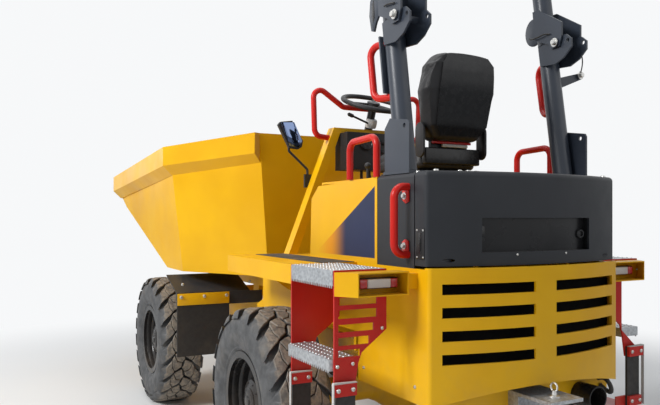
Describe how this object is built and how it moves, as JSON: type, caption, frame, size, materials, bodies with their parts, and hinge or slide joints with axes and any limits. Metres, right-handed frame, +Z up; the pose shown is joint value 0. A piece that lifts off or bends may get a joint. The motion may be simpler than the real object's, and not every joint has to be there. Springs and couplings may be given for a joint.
{
  "type": "site dumper",
  "caption": "Articulated four-wheel site dumper with a front tipping skip, rear engine, open operator's seat and a folding roll bar.",
  "frame": {"origin": "on the ground at the middle of the plan, below the steering pivot", "axes": "+X forward, +Y to the machine's left, +Z up"},
  "size_m": [4.38, 1.92, 2.79],
  "materials": {
    "yellow": "gloss paint",
    "dark_grey": "satin paint",
    "red": "gloss paint",
    "black_paint": "satin paint",
    "chrome": "polished",
    "steel": "galvanised",
    "tyre": "moulded",
    "rubber": "matte",
    "black_plastic": "matte",
    "seat_cover": "coated fabric",
    "engine_paint": "painted",
    "lamp_red": "gloss"
  },
  "bodies": {
    "rear_chassis": {"console": "black_plastic", "cover_handles": "red", "dash_frame": "yellow", "deck_braces": "yellow", "engine": "engine_paint", "exhaust": "black_paint", "grille_panel": "yellow", "handrails": "red", "lamp_boxes": "yellow", "levers": "black_plastic", "lid_hinge": "yellow", "low_steps": "red", "lower_panels": "yellow", "mirror": "black_plastic", "platform": "yellow", "post_handles": "red", "rear_axle": "yellow", "rear_covers": "dark_grey", "rear_frame": "yellow", "rear_lamps": "lamp_red", "rops_posts": "dark_grey", "seat": "seat_cover", "seat_base": "dark_grey", "seat_plinth": "yellow", "side_panels": "yellow", "steering_column": "black_paint", "step_brackets": "red", "step_straps": "rubber", "step_treads": "steel", "tow_hitch": "steel"},
    "front_chassis": {"front_frame": "yellow", "front_axle": "yellow", "mudguards": "dark_grey", "mudflaps": "rubber"},
    "skip": {"skip_tub": "yellow", "skip_rim_rails": "yellow", "skip_underframe": "yellow"},
    "tip_ram_barrel": {"tip_ram_barrel": "black_paint"},
    "tip_ram_rod": {"tip_ram_rod": "chrome"},
    "steering_ram_barrel": {"steering_ram_barrel": "black_paint"},
    "steering_ram_rod": {"steering_ram_rod": "chrome"},
    "roll_bar": {"rops_hoop": "dark_grey"},
    "lid": {"engine_lid": "dark_grey", "lid_recess": "black_plastic"},
    "steering_wheel": {"steering_wheel": "black_plastic"},
    "wheel_front_left": {"tyre_front_left": "tyre", "rim_front_left": "black_paint"},
    "wheel_front_right": {"tyre_front_right": "tyre", "rim_front_right": "black_paint"},
    "wheel_rear_left": {"tyre_rear_left": "tyre", "rim_rear_left": "black_paint"},
    "wheel_rear_right": {"tyre_rear_right": "tyre", "rim_rear_right": "black_paint"}
  },
  "joints": [
    {"name": "steering", "type": "hinge", "parent": "rear_chassis", "child": "front_chassis", "pos_m": [0, 0, 0.6], "axis": [0, 0, 1], "range_deg": [-33, 33]},
    {"name": "skip_tip", "type": "hinge", "parent": "front_chassis", "child": "skip", "pos_m": [1.25, 0, 0.85], "axis": [0, 1, 0], "range_deg": [0, 70]},
    {"name": "tip_ram_swing", "type": "hinge", "parent": "front_chassis", "child": "tip_ram_barrel", "pos_m": [0.29, 0, 0.64], "axis": [0, -1, 0], "range_deg": [0, 6.51]},
    {"name": "tip_ram_slide", "type": "slide", "parent": "tip_ram_barrel", "child": "tip_ram_rod", "axis": [0.9104, 0, 0.4138], "range_m": [0, 0.3528]},
    {"name": "steering_ram_swing", "type": "hinge", "parent": "rear_chassis", "child": "steering_ram_barrel", "pos_m": [-0.64, -0.24, 0.645], "axis": [0, 0, 1], "range_deg": [-1.95, 1.95]},
    {"name": "steering_ram_slide", "type": "slide", "parent": "steering_ram_barrel", "child": "steering_ram_rod", "axis": [1, 0, 0], "range_m": [-0.1285, 0.1285]},
    {"name": "roll_bar_fold", "type": "hinge", "parent": "rear_chassis", "child": "roll_bar", "pos_m": [-1.748, 0, 2.2], "axis": [0, -1, 0], "range_deg": [0, 150]},
    {"name": "lid_open", "type": "hinge", "parent": "rear_chassis", "child": "lid", "pos_m": [-2, 0, 1.195], "axis": [0, -1, 0], "range_deg": [0, 60]},
    {"name": "steering_wheel_turn", "type": "hinge", "parent": "rear_chassis", "child": "steering_wheel", "pos_m": [-0.72, 0, 2.03], "axis": [-0.3746, 0, 0.9272], "continuous": true},
    {"name": "wheel_front_left_spin", "type": "hinge", "parent": "front_chassis", "child": "wheel_front_left", "pos_m": [0.982, 0.7775, 0.4575], "axis": [0, 1, 0], "continuous": true},
    {"name": "wheel_front_right_spin", "type": "hinge", "parent": "front_chassis", "child": "wheel_front_right", "pos_m": [0.982, -0.7775, 0.4575], "axis": [0, 1, 0], "continuous": true},
    {"name": "wheel_rear_left_spin", "type": "hinge", "parent": "rear_chassis", "child": "wheel_rear_left", "pos_m": [-0.982, 0.7775, 0.4575], "axis": [0, 1, 0], "continuous": true},
    {"name": "wheel_rear_right_spin", "type": "hinge", "parent": "rear_chassis", "child": "wheel_rear_right", "pos_m": [-0.982, -0.7775, 0.4575], "axis": [0, 1, 0], "continuous": true}
  ],
  "couplings": [
    {"joint": "tip_ram_swing", "follows": "skip_tip", "ratio": 0.093},
    {"joint": "tip_ram_slide", "follows": "skip_tip", "m_per_rad": 0.28877},
    {"joint": "steering_ram_swing", "follows": "steering", "ratio": 0.059},
    {"joint": "steering_ram_slide", "follows": "steering", "m_per_rad": 0.22311}
  ]
}
